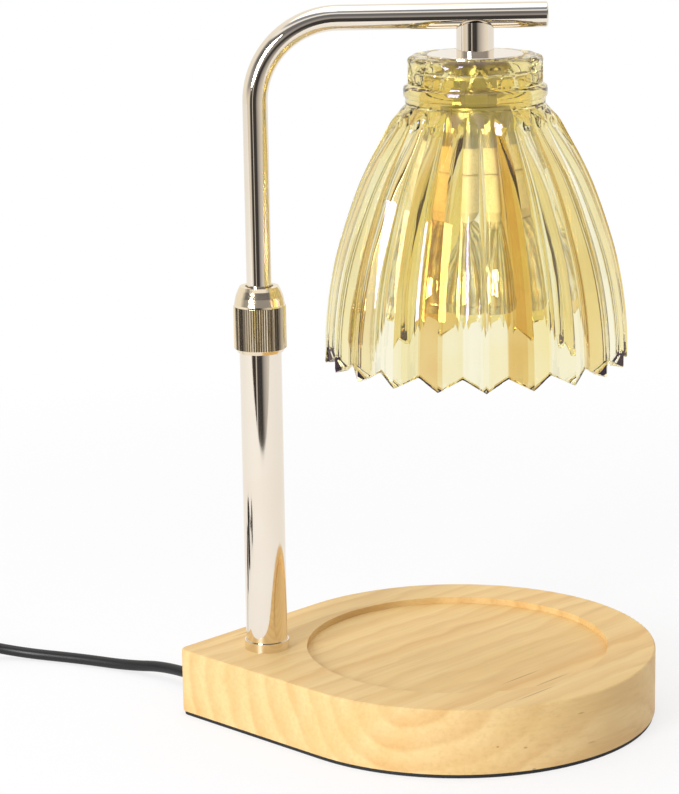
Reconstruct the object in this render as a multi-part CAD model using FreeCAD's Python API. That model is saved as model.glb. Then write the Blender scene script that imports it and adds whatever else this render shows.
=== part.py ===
import FreeCAD, Part
import math
import os

# Candle warmer lamp: a drop-shaped wooden base with a dished top, a two-part height-adjustable post
# with a knurled lock collar, a swinging arm, and a ribbed amber glass shade around a reflector bulb.
# Millimetres. +Z is up, +X runs from the post to the dish. The origin lies under the centre of the
# dish, on the surface that the lamp stands on.

V = FreeCAD.Vector
UP = V(0, 0, 1)
SLIP = 0.03      # radial gap of a piece that is pushed or screwed on and stays
RUNNING = 0.05   # radial gap of a piece that slides or turns
STOP_GAP = 0.1   # axial gap of a trapped ring

# Base
disc_r = 77.0
corner_r = 4.0
pad_t = 1.5
pad_inset = 0.5
wood_t = 25.0
edge_r = 0.8
dish_r = 58.5
dish_depth = 2.5
post_inset = 34.8944    # the post's axis from the base's unrounded corner
pocket_r = 13.0
pocket_depth = 14.0
groove_w = 7.0
groove_axis = 3.5      # height of the cord's line above the wood's underside

# Post
post_r = 8.0
post_wall = 1.0
post_h = 136.5         # above the wood
flange_wall = 0.6
flange_h = 3.5
nipple_r = 5.0
nipple_bore_r = 3.5
nipple_drop = 1.5      # stands out below the nut
insert_h = 15.5
washer_r = 11.5
washer_t = 1.2
nut_af = 14.0
nut_t = 5.0

# Lock collar, its pressure ring and its split collet
collar_r = 10.0
collar_top_r = 7.4
collar_h = 25.2
collar_over = 6.7      # top of the collar above the post
collar_hole_r = 5.3
collar_nose = ((9.1, 3.7), (8.1, 6.2))   # corners of its sloping nose: radius, height above the knurl
knurl_h = 16.2
knurl_under = 0.8      # top of the knurl below the post's top
knurl_count = 64
knurl_depth = 0.45
collet_flange_t = 1.2
collet_r = 5.9
collet_h = 5.4
collet_slot = 0.8
ring_t = 1.0
collar_lip_t = 0.9
thread_pitch = 1.0     # the collar climbs by it in its one full turn

# Upper tube, arm and guide bush
tube_r = 4.75
tube_wall = 1.0
tube_in = 53.0         # foot of the tube below the post's top, at rest
arm_z = 270.0
bend_r = 31.0
arm_reach = 107.5
cap_t = 1.4
cap_plug = 6.0
bush_l = 10.0
clip_t = 0.8
clip_r = 6.4

# Stem and shade mounting
stem_x = 82.0          # from the post's axis
stem_r = 7.0
stem_top_drop = 2.0    # top of the saddle below the arm's axis
saddle_r = 12.0
canopy_r = 17.9
canopy_t = 1.2
canopy_drop = 14.0     # top of the disc below the arm's axis
wire_hole_r = 3.2
gasket_t = 0.5
gasket_w = 2.6
shade_washer_r = 18.5
shade_washer_t = 1.2

# Glass shade
crown_r = 25.1
crown_round = 2.2
crown_drop = 0.5       # below the canopy disc's top
crown_h = 10.9
petals = 14
petal_w = 9.2
petal_cut = 1.3
band_r = 26.8
band_h = 5.0
neck_r = 26.2
neck_h = 2.2
ribs = 20
rib_depth = 3.7
rib_land = 0.5         # half angle of a rib's rounded ridge, in degrees
rim_scallop = 4.4
rim_land = 0.4
glass_t = 2.6
seat_r = 15.0          # hole in the glass
seat_t = 4.5
seat_recess_r = 18.4
# height below the neck and outside radius of the ribs' ridges
shade_line = [
    (0.0, 26.2), (5.6, 31.1), (13.2, 35.4), (20.7, 39.5), (28.2, 43.1), (35.8, 46.1), (43.3, 48.7),
    (54.6, 52.2), (65.9, 54.8), (77.2, 56.5), (88.0, 57.4), (97.9, 57.5),
]
rib_start = 11.0       # over this height the ribs grow to their full depth

# Lampholder and bulb
cap_r = 13.0
cap_wall = 0.8
cap_drop = 18.0        # top of the cup below the canopy disc's top
cap_h = 16.0
cap_round = 1.2
cap_nut_t = 2.5
socket_out = 10.2      # how far the ceramic stands out of the cup
socket_r = 12.0
socket_h = 22.2
socket_floor = 3.5
socket_cavity_r = 8.4
socket_cavity_h = 10.7
pin_circle_r = 5.0
pin_shaft_r = 1.6
pin_head_r = 2.5
pin_shaft_l = 4.6
pin_head_l = 2.6
twist = 30.0
bulb_gap = 0.3
bulb_base_h = 18.0
bulb_base_r = 11.4
bulb_neck_r = 9.2
bulb_l = 49.5
bulb_r = 25.0
bulb_rim_h = 3.0
bulb_wall = 1.3
lens_t = 2.0
capsule_r = 4.4
capsule_l = 16.0
filament_r = 0.6
filament_wire_r = 0.25
contact_w = 3.0
contact_gap = 0.3
screw_r = 1.5
screw_head_r = 2.7
screw_head_t = 1.4
terminal_x = 7.6
terminal_drop = 4.6    # terminals below the ceramic's top

# Leads and power cord
lead_r = 1.3
lead_bend = 6.5
slack_foot = 14.5      # start of the slack above the wood
slack_head = 2.0       # its end below the upper tube
slack_turns = 6
slack_coil_r = 3.6
cord_r = 2.2
floor_gap = 0.05       # the cord's underside above the floor
boot_l = 20.0
boot_flange_t = 1.5
boot_flange_w = 10.0
boot_r = 3.4
boot_end_r = 2.7
boot_inside = 6.0

# Inline dimmer
lead_out = 14.0        # straight run out of the strain relief
# the cord's turns and the dimmer's middle, all from the strain relief's end
cord_way = ((-25.911, 19.911), (-46.411, 29.911), (-72.411, 39.411))
dimmer_way = (-148.411, 40.411)
dimmer_run = 16.0      # straight run into the dimmer
dimmer_l = 58.0
dimmer_w = 27.0
dimmer_h = 15.0
dimmer_split = 7.2
dimmer_wall = 1.6
dimmer_round = 5.0
dimmer_boot_l = 9.0
wheel_r = 12.0
wheel_t = 4.0
wheel_out = 2.6
wheel_z = 8.6
wheel_teeth = 36
wheel_tooth = 0.6
axle_r = 2.0
board_t = 1.2
board_z = 3.0
board_l = 30.0
board_w = 18.0
board_pillar_r = 1.6
pot_r = 6.0
boss_r = 3.0
boss_x = 21.5
boss_y = 7.2
sink_depth = 1.6
screw_reach = 4.0      # into the cover

# Coil, plug lead and plug
coil_pitch = 4.9
coil_turns = 2.0       # per layer
coil_layers = 4
coil_in_r = 19.6
coil_way = (-74.0, -46.0)   # side of the coil where both its ends lie, from the dimmer's middle
plug_w = 24.0
plug_h = 14.0
plug_l = 26.0
plug_tail = 20.0
blade_gap = 12.7
blade_w = 6.35
blade_t = 1.5
blade_l = 16.0

os.makedirs("parts", exist_ok=True)


def save(name, shape):
    shape.exportStep(f"parts/{name}.step")


def cylinder(r, bottom, top, x=0.0, y=0.0):
    return Part.makeCylinder(r, top - bottom, V(x, y, bottom))


def pipe(r, bore, bottom, top, x=0.0, y=0.0):
    return cylinder(r, bottom, top, x, y).cut(cylinder(bore, bottom, top, x, y))


def cone(r1, r2, bottom, top, x=0.0, y=0.0):
    return Part.makeCone(r1, r2, top - bottom, V(x, y, bottom))


def turned(outline, x=0.0, y=0.0):
    """Solid of revolution about a vertical axis, from (radius, height) corners."""
    points = [V(r, 0, z) for r, z in outline]
    face = Part.Face(Part.makePolygon(points + points[:1]))
    solid = face.revolve(V(0, 0, 0), UP, 360)
    solid.translate(V(x, y, 0))
    return solid


def prism(points, bottom, top):
    """Straight solid over a closed outline of (x, y) corners."""
    corners = [V(x, y, bottom) for x, y in points]
    return Part.Face(Part.makePolygon(corners + corners[:1])).extrude(V(0, 0, top - bottom))


def block(x0, x1, y0, y1, z0, z1):
    return Part.makeBox(x1 - x0, y1 - y0, z1 - z0, V(x0, y0, z0))


def hexagon(af, bore, bottom, top, x, y=0.0):
    radius = af / math.sqrt(3)
    corners = []
    for k in range(6):
        corners.append((x + radius * math.cos(k * math.pi / 3), y + radius * math.sin(k * math.pi / 3)))
    return prism(corners, bottom, top).cut(cylinder(bore, bottom, top, x, y))


def star(count, outer, inner, bottom, top, x=0.0, y=0.0):
    """Straight-knurled disc: a prism with `count` ridges."""
    corners = []
    for k in range(2 * count):
        r = outer if k % 2 == 0 else inner
        angle = k * math.pi / count
        corners.append((x + r * math.cos(angle), y + r * math.sin(angle)))
    return prism(corners, bottom, top)


def edges_at(shape, test):
    return [e for e in shape.Edges if all(test(v.Point) for v in e.Vertexes) and test(e.CenterOfMass)]


def arc_from(start, tangent, end):
    """Arc that leaves start along tangent and ends at end, or a line where they are in line."""
    chord = end - start
    along = V(chord).normalize()
    side = tangent - along * tangent.dot(along)
    if side.Length < 1e-7:
        return Part.LineSegment(start, end).toShape()
    turn = math.atan2(side.Length, tangent.dot(along))
    middle = (start + end) * 0.5 + side.normalize() * (chord.Length / 2 * math.tan(turn / 2))
    return Part.Arc(start, middle, end).toShape()


def biarc(start, leave, end, arrive):
    """Two arcs that join two points with the given directions."""
    chord = end - start
    both = leave + arrive
    bend = 2 * (1 - leave.dot(arrive))
    if bend < 1e-9:
        return [Part.LineSegment(start, end).toShape()]
    b = chord.dot(both)
    reach = (-b + math.sqrt(b * b + bend * chord.dot(chord))) / bend
    middle = (start + end + (leave - arrive) * reach) * 0.5
    at_middle = (end - arrive * reach - middle).normalize()
    return [arc_from(start, leave, middle), arc_from(middle, at_middle, end)]


def swept(edges, radius, start, direction):
    """Round tube of the given radius along a wire of tangent edges."""
    path = Part.Wire(Part.__sortEdges__(edges))
    ring = Part.Wire([Part.Circle(start, direction, radius).toShape()])
    return path.makePipeShell([ring], True, False), path.Length


def rounded_route(points):
    """Straight runs joined by tangent arcs, each as large as its two runs allow."""
    edges = []
    radii = []
    at = points[0]
    for k in range(1, len(points) - 1):
        before, corner, after = points[k - 1], points[k], points[k + 1]
        come = (corner - before).normalize()
        go = (after - corner).normalize()
        half = come.getAngle(go) / 2
        setback = 0.45 * min((corner - before).Length, (after - corner).Length)
        radii.append(setback / math.tan(half))
        enter = corner - come * setback
        leave = corner + go * setback
        edges.append(Part.LineSegment(at, enter).toShape())
        edges.append(arc_from(enter, come, leave))
        at = leave
    edges.append(Part.LineSegment(at, points[-1]).toShape())
    return edges, radii


def tube_along(name, points, radius):
    """Tube on a rounded route, with its least bend and its volume against section times length."""
    edges, radii = rounded_route(points)
    solid, length = swept(edges, radius, points[0], points[1] - points[0])
    share = solid.Volume / (math.pi * radius ** 2 * length)
    print(f"{name}: length {length:.1f}, volume share {share:.4f}, radii", [round(r, 1) for r in radii])
    return solid


def turned_to(shape, place, heading):
    """Turns a shape built along +X from the origin to a level heading, and moves it to its place."""
    copy = shape.copy()
    copy.rotate(V(0, 0, 0), UP, math.degrees(math.atan2(heading.y, heading.x)))
    copy.translate(place)
    return copy


# Heights and places that several pieces share
wood_bottom = pad_t
wood_top = wood_bottom + wood_t
dish_z = wood_top - dish_depth
cord_exit_z = wood_bottom + groove_axis
post_top = wood_top + post_h
post_bore_r = post_r - post_wall
collar_top = post_top + collar_over
collar_bottom = collar_top - collar_h
knurl_top = post_top - knurl_under
knurl_bottom = knurl_top - knurl_h
tube_foot = post_top - tube_in
tube_bore_r = tube_r - tube_wall
slack_bottom = wood_top + slack_foot
slack_top = tube_foot - slack_head
canopy_top = arm_z - canopy_drop
crown_top = canopy_top - crown_drop
crown_bottom = crown_top - crown_h
band_bottom = crown_bottom - band_h
neck_bottom = band_bottom - neck_h
rim_z = neck_bottom - shade_line[-1][0]
cap_top = canopy_top - cap_drop
cap_bottom = cap_top - cap_h
socket_bottom = cap_bottom - socket_out
socket_top = socket_bottom + socket_h
corner_x = -disc_r * math.sqrt(2)
post_x = corner_x + post_inset
head_x = post_x + stem_x
exit_way = V(-1, 1, 0).normalize()
exit_reach = (post_x - corner_x) / math.sqrt(2)
exit_point = V(post_x, 0, cord_exit_z) + exit_way * exit_reach
boot_end = exit_point + exit_way * boot_l
cord_rest = cord_r + floor_gap
dimmer_x = boot_end.x + dimmer_way[0]
dimmer_y = boot_end.y + dimmer_way[1]
coil_side_x = dimmer_x + coil_way[0]
coil_y = dimmer_y + coil_way[1]
pocket_top = wood_bottom + pocket_depth
nut_bottom = pocket_top - washer_t - nut_t
nipple_bottom = nut_bottom - nipple_drop


def drop_outline(inset, bottom, height):
    """Disc with one square corner, the plan of the base."""
    r = disc_r - inset
    t = r / math.sqrt(2)
    square = prism([(0, 0), (-t, t), (-r * math.sqrt(2), 0), (-t, -t)], bottom, bottom + height)
    at_corner = edges_at(square, lambda p: abs(p.x + r * math.sqrt(2)) < 0.01)
    square = square.makeFillet(corner_r, at_corner)
    return cylinder(r, bottom, bottom + height).fuse(square).removeSplitter()


def groove(length, inset=0.0):
    """Arched channel on the cord's line, from the pocket outwards, built along +X from the origin."""
    r = groove_w / 2 - inset
    arch = Part.makeCylinder(r, length, V(0, 0, 0), V(1, 0, 0))
    foot = block(0, length, -r, r, -groove_axis + inset, 0)
    return arch.fuse(foot).removeSplitter()


def make_base():
    wood = drop_outline(0.0, wood_bottom, wood_t)
    rim = edges_at(wood, lambda p: abs(p.z - wood_top) < 0.01)
    wood = wood.makeFillet(edge_r, rim)
    wood = wood.cut(cylinder(dish_r, dish_z, wood_top + 1))
    wood = wood.cut(cylinder(nipple_r + 4 * RUNNING, wood_bottom, wood_top + 1, post_x))
    wood = wood.cut(cylinder(pocket_r, wood_bottom - 1, pocket_top, post_x))
    wood = wood.cut(turned_to(groove(exit_reach + 2), V(post_x, 0, cord_exit_z), exit_way))
    save("base_block", wood.removeSplitter())
    save("base_pad", drop_outline(pad_inset, 0.0, pad_t))
    flange_bore = post_r + RUNNING
    save("post_flange", pipe(flange_bore + flange_wall, flange_bore, wood_top, wood_top + flange_h, post_x))
    save("post_washer", pipe(washer_r, nipple_r + RUNNING, pocket_top - washer_t, pocket_top, post_x))
    save("post_nut", hexagon(nut_af, nipple_r + SLIP, nut_bottom, nut_bottom + nut_t, post_x))
    save("post_nipple", pipe(nipple_r, nipple_bore_r, nipple_bottom, wood_top + insert_h - 2, post_x))
    save("post_insert", pipe(post_bore_r - SLIP, nipple_r + SLIP, wood_top, wood_top + insert_h, post_x))
    save("post_tube", pipe(post_r, post_bore_r, wood_top, post_top, post_x))


def make_strain_relief():
    """Moulded grommet that fills the groove's mouth, with a ribbed tail around the cord."""
    inside = groove(boot_inside, SLIP)
    inside.translate(V(-boot_inside, 0, 0))
    half = boot_flange_w / 2
    flange = block(0, boot_flange_t, -half, half, -groove_axis, half)
    tail = Part.makeCone(boot_r, boot_end_r, boot_l, V(0, 0, 0), V(1, 0, 0))
    boot = inside.fuse(flange).fuse(tail).removeSplitter()
    save("strain_relief", turned_to(boot, exit_point, exit_way))


def make_collar():
    flange_top = post_top + collet_flange_t
    ring_top = flange_top + ring_t
    tube_hole = tube_r + RUNNING
    collet = pipe(post_bore_r + 0.7, tube_hole, post_top, flange_top, post_x)
    collet = collet.fuse(pipe(collet_r, tube_hole, post_top, flange_top + collet_h - ring_t, post_x))
    slot_top = flange_top + collet_h
    for k in range(2):
        blade = block(-collet_r - 1, collet_r + 1, -collet_slot / 2, collet_slot / 2, flange_top, slot_top)
        blade.rotate(V(0, 0, 0), UP, 90 * k)
        blade.translate(V(post_x, 0, 0))
        collet = collet.cut(blade)
    save("clamp_collet", collet)
    save("pressure_ring", pipe(post_bore_r + 0.7, collet_r + RUNNING, flange_top, ring_top, post_x))
    body = star(knurl_count, collar_r, collar_r - knurl_depth, knurl_bottom, knurl_top, post_x)
    foot = cone(collar_r - 1.3, collar_r - knurl_depth, collar_bottom, knurl_bottom, post_x)
    shoulder_r = collar_r - 0.35
    nose_line = [(0, knurl_top), (shoulder_r, knurl_top), (shoulder_r, post_top)]
    nose_line += [(r, knurl_top + h) for r, h in collar_nose]
    nose = turned(nose_line + [(collar_top_r, collar_top), (0, collar_top)], post_x)
    collar = body.fuse(foot).fuse(nose)
    seat = ring_top + 0.02
    collar = collar.cut(cylinder(post_r + RUNNING, collar_bottom - 1, post_top + thread_pitch + 0.4, post_x))
    collar = collar.cut(cylinder(post_bore_r + 0.9, post_top, seat, post_x))
    collar = collar.cut(cylinder(collet_r + 0.25, seat - 1, collar_top - collar_lip_t, post_x))
    collar = collar.cut(cylinder(collar_hole_r, collar_bottom, collar_top + 1, post_x))
    save("lock_collar", collar.removeSplitter())


def make_arm():
    bend_start = arm_z - bend_r
    corner = V(post_x + bend_r * (1 - math.sqrt(0.5)), 0, bend_start + bend_r * math.sqrt(0.5))
    foot = V(post_x, 0, tube_foot)
    end = V(post_x + arm_reach, 0, arm_z)
    knee = V(post_x + bend_r, 0, arm_z)
    line = [
        Part.LineSegment(foot, V(post_x, 0, bend_start)).toShape(),
        Part.Arc(V(post_x, 0, bend_start), corner, knee).toShape(),
        Part.LineSegment(knee, end).toShape(),
    ]
    outer, _ = swept(line, tube_r, foot, UP)
    bore, _ = swept(line, tube_bore_r, foot, UP)
    tube = outer.cut(bore)
    tube = tube.cut(cylinder(wire_hole_r, arm_z - tube_r - 1, arm_z, head_x))
    save("upper_tube", tube)
    cap = Part.makeCylinder(tube_r, cap_t, end, V(1, 0, 0))
    cap = cap.makeFillet(cap_t * 0.5, edges_at(cap, lambda p: abs(p.x - end.x - cap_t) < 0.01))
    plug = Part.makeCylinder(tube_bore_r - SLIP, cap_plug, end - V(cap_plug, 0, 0), V(1, 0, 0))
    save("arm_end_cap", cap.fuse(plug))
    bush_bottom = tube_foot + clip_t + STOP_GAP
    save("guide_bush", pipe(post_bore_r - RUNNING, tube_r + RUNNING, bush_bottom, bush_bottom + bush_l, post_x))
    clip = pipe(clip_r, tube_r + SLIP, 0, clip_t, post_x)
    low = clip.translated(V(0, 0, tube_foot))
    high = clip.translated(V(0, 0, bush_bottom + bush_l + STOP_GAP))
    save("bush_clips", Part.makeCompound([low, high]))


def make_stem():
    top = arm_z - stem_top_drop
    stem = pipe(stem_r, nipple_r + SLIP, canopy_top, top, head_x)
    saddle = Part.makeCylinder(saddle_r, 4 * stem_r, V(head_x, -2 * stem_r, top - saddle_r), V(0, 1, 0))
    stem = stem.common(saddle.fuse(block(head_x - 9, head_x + 9, -9, 9, canopy_top, top - saddle_r / 2)))
    arm = Part.makeCylinder(tube_r + SLIP, 4 * stem_r, V(head_x - 2 * stem_r, 0, arm_z), V(1, 0, 0))
    save("arm_stem", stem.cut(arm))
    nipple_top = arm_z - tube_r - 0.5
    nipple_foot = cap_top - cap_wall - 2 * cap_nut_t - 2 * SLIP
    save("stem_nipple", pipe(nipple_r, nipple_bore_r, nipple_foot, nipple_top, head_x))
    disc_bottom = canopy_top - canopy_t
    disc = cylinder(canopy_r, disc_bottom, canopy_top, head_x)
    disc = disc.makeFillet(canopy_t / 3, edges_at(disc, lambda p: abs(p.z - canopy_top) < 0.01))
    save("canopy_disc", disc.cut(cylinder(nipple_r + SLIP, disc_bottom - 1, canopy_top + 1, head_x)))
    glass_top = disc_bottom - gasket_t
    glass_bottom = glass_top - seat_t
    rings = [
        pipe(seat_r + gasket_w, seat_r, glass_top, disc_bottom, head_x),
        pipe(seat_r + gasket_w, seat_r, glass_bottom - gasket_t, glass_bottom, head_x),
    ]
    save("shade_gaskets", Part.makeCompound(rings))
    plate_top = glass_bottom - gasket_t
    plate_bottom = plate_top - shade_washer_t
    save("shade_washer", pipe(shade_washer_r, nipple_r + RUNNING, plate_bottom, plate_top, head_x))
    save("shade_nut", hexagon(nut_af, nipple_r + SLIP, plate_bottom - nut_t, plate_bottom, head_x))
    return glass_top, glass_bottom


def rib_section(height, r, share):
    """Closed outline of the ribbed glass at one height: ridges at r, valleys below them."""
    pitch = 360 / ribs
    land = rib_land + (pitch / 2 - 1.2 - rib_land) * (1 - share) ** 1.5
    valley = r - rib_depth * share - 0.02
    corners = []
    for k in range(ribs):
        middle = k * pitch
        for radius, angle in ((r, middle - land), (r, middle + land), (valley, middle + pitch / 2)):
            turn = math.radians(angle)
            corners.append(V(radius * math.cos(turn), radius * math.sin(turn), height))
    return Part.makePolygon(corners + corners[:1])


def shade_radius(drop):
    """Outside radius of the ridges at a height below the neck."""
    for (d0, r0), (d1, r1) in zip(shade_line, shade_line[1:]):
        if drop <= d1:
            return r0 + (r1 - r0) * (drop - d0) / (d1 - d0)
    return shade_line[-1][1]


def make_shade(seat_top, seat_bottom):
    sections = []
    drops = [d for d, _ in shade_line]
    for drop in sorted(drops + [2.8, 8.6]):
        share = min(1.0, drop / rib_start)
        sections.append(rib_section(neck_bottom - drop, shade_radius(drop), share))
    body = Part.makeLoft(sections, True, True)
    body = body.fuse(cylinder(neck_r - 0.3, neck_bottom - 1.0, neck_bottom + 1))
    top = turned([
        (0, neck_bottom), (neck_r, neck_bottom), (neck_r, band_bottom), (band_r, band_bottom + 0.8),
        (band_r, crown_bottom - 1.2), (crown_r, crown_bottom), (crown_r, crown_top - crown_round),
        (crown_r - 0.65, crown_top - 0.65), (crown_r - crown_round, crown_top), (0, crown_top),
    ])
    for k in range(petals):
        top = top.cut(petal_arch(360 * (k + 0.5) / petals))
    glass = body.fuse(top)
    inner = [(0, rim_z - 1), (shade_line[-1][1] - rib_depth - glass_t, rim_z - 1)]
    for drop, r in reversed(shade_line[1:]):
        depth = rib_depth * min(1.0, drop / rib_start)
        inner.append((r - depth - glass_t, neck_bottom - drop))
    neck_in = neck_r - 2 * glass_t
    inner += [(neck_in, neck_bottom), (neck_in, seat_bottom), (0, seat_bottom)]
    glass = glass.cut(turned(inner))
    glass = glass.cut(cylinder(seat_r, seat_bottom - 1, crown_top + 1))
    glass = glass.cut(cylinder(seat_recess_r, seat_top, crown_top + 1))
    for k in range(ribs):
        glass = glass.cut(rim_notch(360 * (k + 0.5) / ribs))
    glass.translate(V(head_x, 0, 0))
    save("glass_shade", glass)


def petal_arch(angle):
    """Cutter of one pointed arch in the crown's side."""
    bottom = crown_bottom + 1.2
    top = crown_top - crown_round - 0.4
    half = petal_w / 2
    spring = bottom + (top - bottom) * 0.35
    inside = crown_r - petal_cut
    points = [V(inside, -half, bottom), V(inside, half, bottom), V(inside, half, spring), V(inside, 0, top),
              V(inside, -half, spring)]
    rise = top - spring
    bulge = 0.16 * rise
    right = Part.Arc(points[2], V(inside, half * 0.62 + bulge * 0.4, spring + rise * 0.6), points[3]).toShape()
    left = Part.Arc(points[3], V(inside, -half * 0.62 - bulge * 0.4, spring + rise * 0.6), points[4]).toShape()
    edges = [Part.LineSegment(points[0], points[1]).toShape(), Part.LineSegment(points[1], points[2]).toShape(),
             right, left, Part.LineSegment(points[4], points[0]).toShape()]
    arch = Part.Face(Part.Wire(edges)).extrude(V(2 * petal_cut, 0, 0))
    arch.rotate(V(0, 0, 0), UP, angle)
    return arch


def rim_notch(angle):
    """Wedge that cuts the rim up to the valley between two ribs."""
    r = shade_line[-1][1]
    half = 1.5 * (r * math.sin(math.pi / ribs) - rim_land)
    foot = rim_z - rim_scallop / 2
    corners = [V(0, -half, foot), V(0, half, foot), V(0, 0, rim_z + rim_scallop)]
    wedge = Part.Face(Part.makePolygon(corners + corners[:1])).extrude(V(2 * r, 0, 0))
    wedge.rotate(V(0, 0, 0), UP, angle)
    return wedge


def arc_slot(half_width, bottom, top):
    """Pair of curved slots for the bulb's pins, with a round mouth where the heads go in."""
    ring = pipe(pin_circle_r + half_width, pin_circle_r - half_width, bottom, top)
    reach = 3 * pin_circle_r
    sweep = [(0, 0)]
    for k in range(7):
        turn = math.radians(90 - twist * k / 6)
        sweep.append((reach * math.cos(turn), reach * math.sin(turn)))
    slot = ring.common(prism(sweep, bottom, top))
    for angle, r in ((90, half_width), (90 - twist, pin_head_r + RUNNING * 3)):
        turn = math.radians(angle)
        slot = slot.fuse(cylinder(r, bottom, top, pin_circle_r * math.cos(turn), pin_circle_r * math.sin(turn)))
    other = slot.copy()
    other.rotate(V(0, 0, 0), UP, 180)
    return slot.fuse(other)


def make_lampholder():
    cup = cylinder(cap_r, cap_bottom, cap_top).cut(cylinder(cap_r - cap_wall, cap_bottom - 1, cap_top - cap_wall))
    cup = cup.makeFillet(cap_round, edges_at(cup, lambda p: abs(p.z - cap_top) < 0.01))
    cup = cup.cut(cylinder(nipple_r + RUNNING, cap_bottom, cap_top + 1))
    cup.translate(V(head_x, 0, 0))
    save("socket_cap", cup)
    nuts = [
        hexagon(nut_af, nipple_r + SLIP, cap_top, cap_top + cap_nut_t, head_x),
        hexagon(nut_af, nipple_r + SLIP, cap_top - cap_wall - cap_nut_t, cap_top - cap_wall, head_x),
    ]
    save("cap_nuts", Part.makeCompound(nuts))
    floor_top = socket_bottom + socket_floor
    body = cylinder(socket_r, socket_bottom, cap_bottom - 0.4)
    body = body.makeFillet(0.8, edges_at(body, lambda p: abs(p.z - socket_bottom) < 0.01))
    body = body.fuse(cylinder(cap_r - cap_wall - SLIP, cap_bottom - 0.4, socket_top - terminal_drop))
    body = body.cut(cylinder(socket_cavity_r, floor_top, floor_top + socket_cavity_h))
    body = body.cut(arc_slot(pin_shaft_r + RUNNING * 2, socket_bottom - 1, floor_top + 0.5))
    for side in (-1, 1):
        body = body.cut(cylinder(screw_r + SLIP, floor_top + socket_cavity_h, socket_top, side * terminal_x))
    body.translate(V(head_x, 0, 0))
    save("socket_body", body)
    head_top = socket_bottom - bulb_gap + pin_shaft_l + pin_head_l
    contacts = []
    for side in (-1, 1):
        y = side * pin_circle_r
        contacts.append(block(head_x - contact_w / 2, head_x + contact_w / 2, y - 1.5, y + 1.5,
                              head_top + contact_gap, floor_top + socket_cavity_h))
    save("socket_contacts", Part.makeCompound(contacts))
    screws = []
    for side in (-1, 1):
        x = head_x + side * terminal_x
        top = socket_top - terminal_drop
        shaft = cylinder(screw_r, floor_top + socket_cavity_h + 0.2, top, x)
        screws.append(shaft.fuse(cylinder(screw_head_r, top, top + screw_head_t, x)))
    save("terminal_screws", Part.makeCompound(screws))


def make_bulb():
    plane = socket_bottom - bulb_gap
    front = plane - bulb_l
    neck = plane - bulb_base_h
    base = turned([(0, neck), (bulb_neck_r, neck), (bulb_base_r, neck + 4), (bulb_base_r, plane - 1),
                   (bulb_base_r - 1, plane), (0, plane)], head_x)
    save("bulb_base", base)
    pins = []
    for side in (-1, 1):
        y = side * pin_circle_r
        shaft = cylinder(pin_shaft_r, plane, plane + pin_shaft_l, head_x, y)
        head = cylinder(pin_head_r, plane + pin_shaft_l, plane + pin_shaft_l + pin_head_l, head_x, y)
        pins.append(shaft.fuse(head))
    save("bulb_pins", Part.makeCompound(pins))
    cup_top = neck - SLIP
    rim_top = front + bulb_rim_h
    low = V(bulb_r - 0.6, 0, rim_top)
    high = V(bulb_neck_r, 0, cup_top)
    bulge = V(0.5 * (low.x + high.x) + 3.0, 0, 0.5 * (low.z + high.z) + 1.5)
    outside = Part.Arc(low, bulge, high).toShape()
    inner_low = V(low.x - bulb_wall - 0.4, 0, rim_top)
    inner_high = V(high.x - bulb_wall, 0, cup_top)
    inside = Part.Arc(inner_high, V(bulge.x - bulb_wall - 0.3, 0, bulge.z - bulb_wall * 0.6), inner_low).toShape()
    outline = [
        outside,
        Part.LineSegment(high, inner_high).toShape(),
        inside,
        Part.LineSegment(inner_low, V(inner_low.x, 0, front)).toShape(),
        Part.LineSegment(V(inner_low.x, 0, front), V(bulb_r, 0, front)).toShape(),
        Part.LineSegment(V(bulb_r, 0, front), V(bulb_r, 0, rim_top - 0.4)).toShape(),
        Part.LineSegment(V(bulb_r, 0, rim_top - 0.4), low).toShape(),
    ]
    cup = Part.Face(Part.Wire(Part.__sortEdges__(outline))).revolve(V(0, 0, 0), UP, 360)
    cup.translate(V(head_x, 0, 0))
    save("bulb_reflector", cup)
    lens_r = inner_low.x - SLIP
    save("bulb_lens", cylinder(lens_r, front + 0.2, front + 0.2 + lens_t, head_x))
    tip = neck - SLIP
    glass = cylinder(capsule_r, tip - capsule_l, tip, head_x)
    glass = glass.makeFillet(capsule_r * 0.8, edges_at(glass, lambda p: abs(p.z - tip + capsule_l) < 0.01))
    hollow = cylinder(capsule_r - 0.8, tip - capsule_l + 2.5, tip - 3.5, head_x)
    save("bulb_capsule", glass.cut(hollow))
    wires = []
    middle = tip - capsule_l / 2
    for side in (-1, 1):
        wires.append(cylinder(filament_wire_r, middle, tip - 3.5, head_x + side * 2.0))
    bar_l = 4.0 + 4 * filament_wire_r
    bar = Part.makeCylinder(filament_r, bar_l, V(head_x - bar_l / 2, 0, middle), V(1, 0, 0))
    save("bulb_filament", wires[0].fuse(wires[1]).fuse(bar))


def slack_edges():
    """Loose helix of the lead inside the post, that starts and ends on the post's axis."""
    steps = 4 * slack_turns

    def point(t):
        ease = min(1.0, t / 0.12, (1 - t) / 0.12)
        r = slack_coil_r * ease * ease * (3 - 2 * ease)
        turn = 2 * math.pi * slack_turns * t
        return V(post_x + r * math.cos(turn), r * math.sin(turn), slack_bottom + (slack_top - slack_bottom) * t)

    def heading(t):
        if t <= 0 or t >= 1:
            return V(0, 0, 1)
        return (point(t + 1e-4) - point(t - 1e-4)).normalize()

    edges = []
    for k in range(2 * steps):
        t0, t1 = k / (2 * steps), (k + 1) / (2 * steps)
        edges += biarc(point(t0), heading(t0), point(t1), heading(t1))
    return edges


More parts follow.
